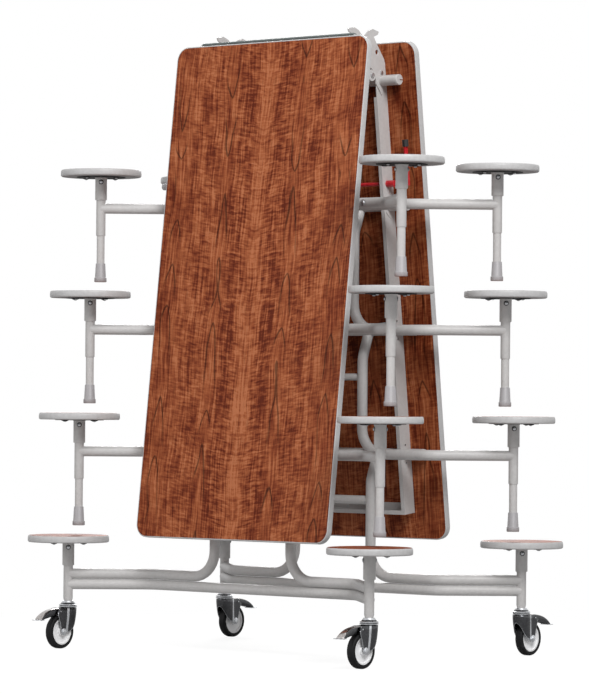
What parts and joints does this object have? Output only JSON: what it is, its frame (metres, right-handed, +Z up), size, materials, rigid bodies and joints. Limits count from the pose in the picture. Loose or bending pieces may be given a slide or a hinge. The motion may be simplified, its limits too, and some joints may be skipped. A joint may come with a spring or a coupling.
{
  "type": "mobile folding cafeteria table with attached stools",
  "caption": "Folding dining table on braked swivel casters with round stools on pivoting steel frames, standing folded with its two halves nearly upright.",
  "frame": {"origin": "on the floor under the middle of the folded table", "axes": "X from the front half to the back half, Y along the centre hinge to the left side, Z up"},
  "size_m": [1.2278, 1.7386, 2.2763],
  "materials": {
    "wood_laminate": "cherry laminate, satin",
    "edge_band": "light grey moulded edge band",
    "frame_paint": "light warm grey powder coat",
    "mount_paint": "grey powder coat",
    "zinc_steel": "zinc plated",
    "red_paint": "red paint",
    "black_grip": "black vinyl grip",
    "foot_plastic": "grey moulded plastic",
    "caster_zinc": "zinc plated sheet steel",
    "tyre_rubber": "black rubber",
    "hub_plastic": "light grey moulded plastic",
    "pedal_chrome": "bright plated sheet steel"
  },
  "bodies": {
    "top_front": {"front_top_board": "wood_laminate", "front_top_edge_band": "edge_band", "front_rail_frame": "frame_paint", "front_hinge_plates": "frame_paint", "front_fasteners": "zinc_steel"},
    "lever_front": {"front_release_lever": "red_paint", "front_lever_grip": "black_grip"},
    "stools_front_1": {"front_frame_1": "frame_paint", "front_seats_1": "wood_laminate", "front_seat_mounts_1": "mount_paint", "front_feet_1": "foot_plastic"},
    "stools_front_2": {"front_frame_2": "frame_paint", "front_seats_2": "wood_laminate", "front_seat_mounts_2": "mount_paint", "front_feet_2": "foot_plastic"},
    "stools_front_3": {"front_frame_3": "frame_paint", "front_seats_3": "wood_laminate", "front_seat_mounts_3": "mount_paint", "front_feet_3": "foot_plastic"},
    "base_front": {"front_frame_base": "frame_paint", "front_seats_base": "wood_laminate", "front_seat_mounts_base": "mount_paint"},
    "caster_front_left": {"caster_fork_front_left": "caster_zinc"},
    "wheel_front_left": {"caster_tyre_front_left": "tyre_rubber", "caster_hub_front_left": "hub_plastic"},
    "pedal_front_left": {"caster_pedal_front_left": "pedal_chrome"},
    "caster_front_right": {"caster_fork_front_right": "caster_zinc"},
    "wheel_front_right": {"caster_tyre_front_right": "tyre_rubber", "caster_hub_front_right": "hub_plastic"},
    "pedal_front_right": {"caster_pedal_front_right": "pedal_chrome"},
    "top_back": {"back_top_board": "wood_laminate", "back_top_edge_band": "edge_band", "back_rail_frame": "frame_paint", "back_hinge_plates": "frame_paint", "back_fasteners": "zinc_steel"},
    "lever_back": {"back_release_lever": "red_paint", "back_lever_grip": "black_grip"},
    "stools_back_1": {"back_frame_1": "frame_paint", "back_seats_1": "wood_laminate", "back_seat_mounts_1": "mount_paint", "back_feet_1": "foot_plastic"},
    "stools_back_2": {"back_frame_2": "frame_paint", "back_seats_2": "wood_laminate", "back_seat_mounts_2": "mount_paint", "back_feet_2": "foot_plastic"},
    "stools_back_3": {"back_frame_3": "frame_paint", "back_seats_3": "wood_laminate", "back_seat_mounts_3": "mount_paint", "back_feet_3": "foot_plastic"},
    "base_back": {"back_frame_base": "frame_paint", "back_seats_base": "wood_laminate", "back_seat_mounts_base": "mount_paint"},
    "caster_back_left": {"caster_fork_back_left": "caster_zinc"},
    "wheel_back_left": {"caster_tyre_back_left": "tyre_rubber", "caster_hub_back_left": "hub_plastic"},
    "pedal_back_left": {"caster_pedal_back_left": "pedal_chrome"},
    "caster_back_right": {"caster_fork_back_right": "caster_zinc"},
    "wheel_back_right": {"caster_tyre_back_right": "tyre_rubber", "caster_hub_back_right": "hub_plastic"},
    "pedal_back_right": {"caster_pedal_back_right": "pedal_chrome"}
  },
  "joints": [
    {"name": "fold", "type": "hinge", "parent": "base_front", "child": "top_front", "pos_m": [-0.26729, 0, 0.7308], "axis": [0, 1, 0], "range_deg": [0, 83.19]},
    {"name": "centre_hinge", "type": "hinge", "parent": "top_front", "child": "top_back", "pos_m": [0, 0, 2.21931], "axis": [0, 1, 0], "range_deg": [-166.38, 0]},
    {"name": "stool_pivot_front_1", "type": "hinge", "parent": "top_front", "child": "stools_front_1", "pos_m": [-0.10465, 0, 2.09272], "axis": [0, 1, 0], "range_deg": [-83.19, 0]},
    {"name": "stool_pivot_front_2", "type": "hinge", "parent": "top_front", "child": "stools_front_2", "pos_m": [-0.15886, 0, 1.63875], "axis": [0, 1, 0], "range_deg": [-83.19, 0]},
    {"name": "stool_pivot_front_3", "type": "hinge", "parent": "top_front", "child": "stools_front_3", "pos_m": [-0.21307, 0, 1.18477], "axis": [0, 1, 0], "range_deg": [-83.19, 0]},
    {"name": "stool_pivot_back_1", "type": "hinge", "parent": "top_back", "child": "stools_back_1", "pos_m": [0.10465, 0, 2.09272], "axis": [0, 1, 0], "range_deg": [0, 83.19]},
    {"name": "stool_pivot_back_2", "type": "hinge", "parent": "top_back", "child": "stools_back_2", "pos_m": [0.15886, 0, 1.63875], "axis": [0, 1, 0], "range_deg": [0, 83.19]},
    {"name": "stool_pivot_back_3", "type": "hinge", "parent": "top_back", "child": "stools_back_3", "pos_m": [0.21307, 0, 1.18477], "axis": [0, 1, 0], "range_deg": [0, 83.19]},
    {"name": "base_pivot_back", "type": "hinge", "parent": "top_back", "child": "base_back", "pos_m": [0.26729, 0, 0.7308], "axis": [0, 1, 0], "range_deg": [0, 83.19]},
    {"name": "release_lever_front", "type": "hinge", "parent": "top_front", "child": "lever_front", "pos_m": [-0.14591, 0.411, 1.71858], "axis": [0, 1, 0], "range_deg": [0, 25], "stiffness_Nm_per_rad": 2, "springref_deg": -20.05},
    {"name": "swivel_front_left", "type": "hinge", "parent": "base_front", "child": "caster_front_left", "pos_m": [-0.44089, 0.7183, 0.175], "axis": [0, 0, 1], "continuous": true},
    {"name": "wheel_spin_front_left", "type": "hinge", "parent": "caster_front_left", "child": "wheel_front_left", "pos_m": [-0.48489, 0.7183, 0.063], "axis": [0, 1, 0], "continuous": true},
    {"name": "brake_pedal_front_left", "type": "hinge", "parent": "caster_front_left", "child": "pedal_front_left", "pos_m": [-0.50089, 0.7183, 0.138], "axis": [0, -1, 0], "range_deg": [0, 8]},
    {"name": "swivel_front_right", "type": "hinge", "parent": "base_front", "child": "caster_front_right", "pos_m": [-0.44089, -0.7183, 0.175], "axis": [0, 0, 1], "continuous": true},
    {"name": "wheel_spin_front_right", "type": "hinge", "parent": "caster_front_right", "child": "wheel_front_right", "pos_m": [-0.48489, -0.7183, 0.063], "axis": [0, 1, 0], "continuous": true},
    {"name": "brake_pedal_front_right", "type": "hinge", "parent": "caster_front_right", "child": "pedal_front_right", "pos_m": [-0.50089, -0.7183, 0.138], "axis": [0, -1, 0], "range_deg": [0, 8]},
    {"name": "release_lever_back", "type": "hinge", "parent": "top_back", "child": "lever_back", "pos_m": [0.14591, -0.411, 1.71858], "axis": [0, -1, 0], "range_deg": [0, 25], "stiffness_Nm_per_rad": 2, "springref_deg": -20.05},
    {"name": "swivel_back_left", "type": "hinge", "parent": "base_back", "child": "caster_back_left", "pos_m": [0.44089, 0.7183, 0.175], "axis": [0, 0, 1], "continuous": true},
    {"name": "wheel_spin_back_left", "type": "hinge", "parent": "caster_back_left", "child": "wheel_back_left", "pos_m": [0.48489, 0.7183, 0.063], "axis": [0, 1, 0], "continuous": true},
    {"name": "brake_pedal_back_left", "type": "hinge", "parent": "caster_back_left", "child": "pedal_back_left", "pos_m": [0.50089, 0.7183, 0.138], "axis": [0, 1, 0], "range_deg": [0, 8]},
    {"name": "swivel_back_right", "type": "hinge", "parent": "base_back", "child": "caster_back_right", "pos_m": [0.44089, -0.7183, 0.175], "axis": [0, 0, 1], "continuous": true},
    {"name": "wheel_spin_back_right", "type": "hinge", "parent": "caster_back_right", "child": "wheel_back_right", "pos_m": [0.48489, -0.7183, 0.063], "axis": [0, 1, 0], "continuous": true},
    {"name": "brake_pedal_back_right", "type": "hinge", "parent": "caster_back_right", "child": "pedal_back_right", "pos_m": [0.50089, -0.7183, 0.138], "axis": [0, 1, 0], "range_deg": [0, 8]}
  ],
  "couplings": [
    {"joint": "centre_hinge", "follows": "fold", "ratio": -2},
    {"joint": "stool_pivot_front_1", "follows": "fold", "ratio": -1},
    {"joint": "stool_pivot_front_2", "follows": "fold", "ratio": -1},
    {"joint": "stool_pivot_front_3", "follows": "fold", "ratio": -1},
    {"joint": "stool_pivot_back_1", "follows": "fold", "ratio": 1},
    {"joint": "stool_pivot_back_2", "follows": "fold", "ratio": 1},
    {"joint": "stool_pivot_back_3", "follows": "fold", "ratio": 1},
    {"joint": "base_pivot_back", "follows": "fold", "ratio": 1}
  ]
}
